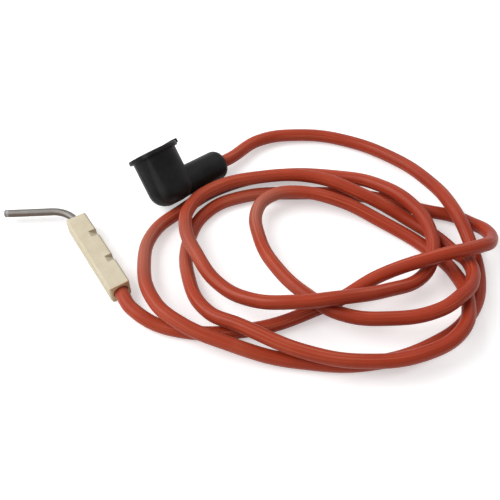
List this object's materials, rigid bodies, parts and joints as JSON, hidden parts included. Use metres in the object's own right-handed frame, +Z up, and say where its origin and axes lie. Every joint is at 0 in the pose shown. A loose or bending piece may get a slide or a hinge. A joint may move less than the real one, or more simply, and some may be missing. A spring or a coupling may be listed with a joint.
{
  "type": "flame sensor probe",
  "caption": "Bent metal electrode in a notched square ceramic block, with a long red silicone lead to a black right-angle rubber boot with a push-fit terminal.",
  "frame": {"origin": "centre of the ceramic block's flat underside, which is the mount seat; the block, the boot and the lead lie on the same level surface", "axes": "+X along the block towards the electrode, +Y to the side the electrode bends to, +Z up from the underside"},
  "size_m": [0.1926, 0.2113, 0.0371],
  "materials": {
    "ceramic": "unglazed steatite ceramic, matt and slightly grainy",
    "electrode": "heat-resistant steel, dull drawn surface",
    "ferrule": "nickel-plated, satin",
    "cement": "set refractory cement, matt",
    "conductor": "bare copper strands",
    "lead": "red-brown silicone rubber, satin",
    "boot": "black moulded rubber, matt",
    "terminal": "pressed brass, satin",
    "ring": "spring wire, bright"
  },
  "bodies": {
    "root": {"ceramic_block": "ceramic", "electrode_rod": "electrode", "splice_ferrule": "ferrule", "cement_seal": "cement", "probe_core": "conductor", "sensor_lead": "lead", "elbow_boot": "boot", "crimp_terminal": "terminal", "retaining_ring": "ring", "boot_core": "conductor"}
  },
  "joints": []
}
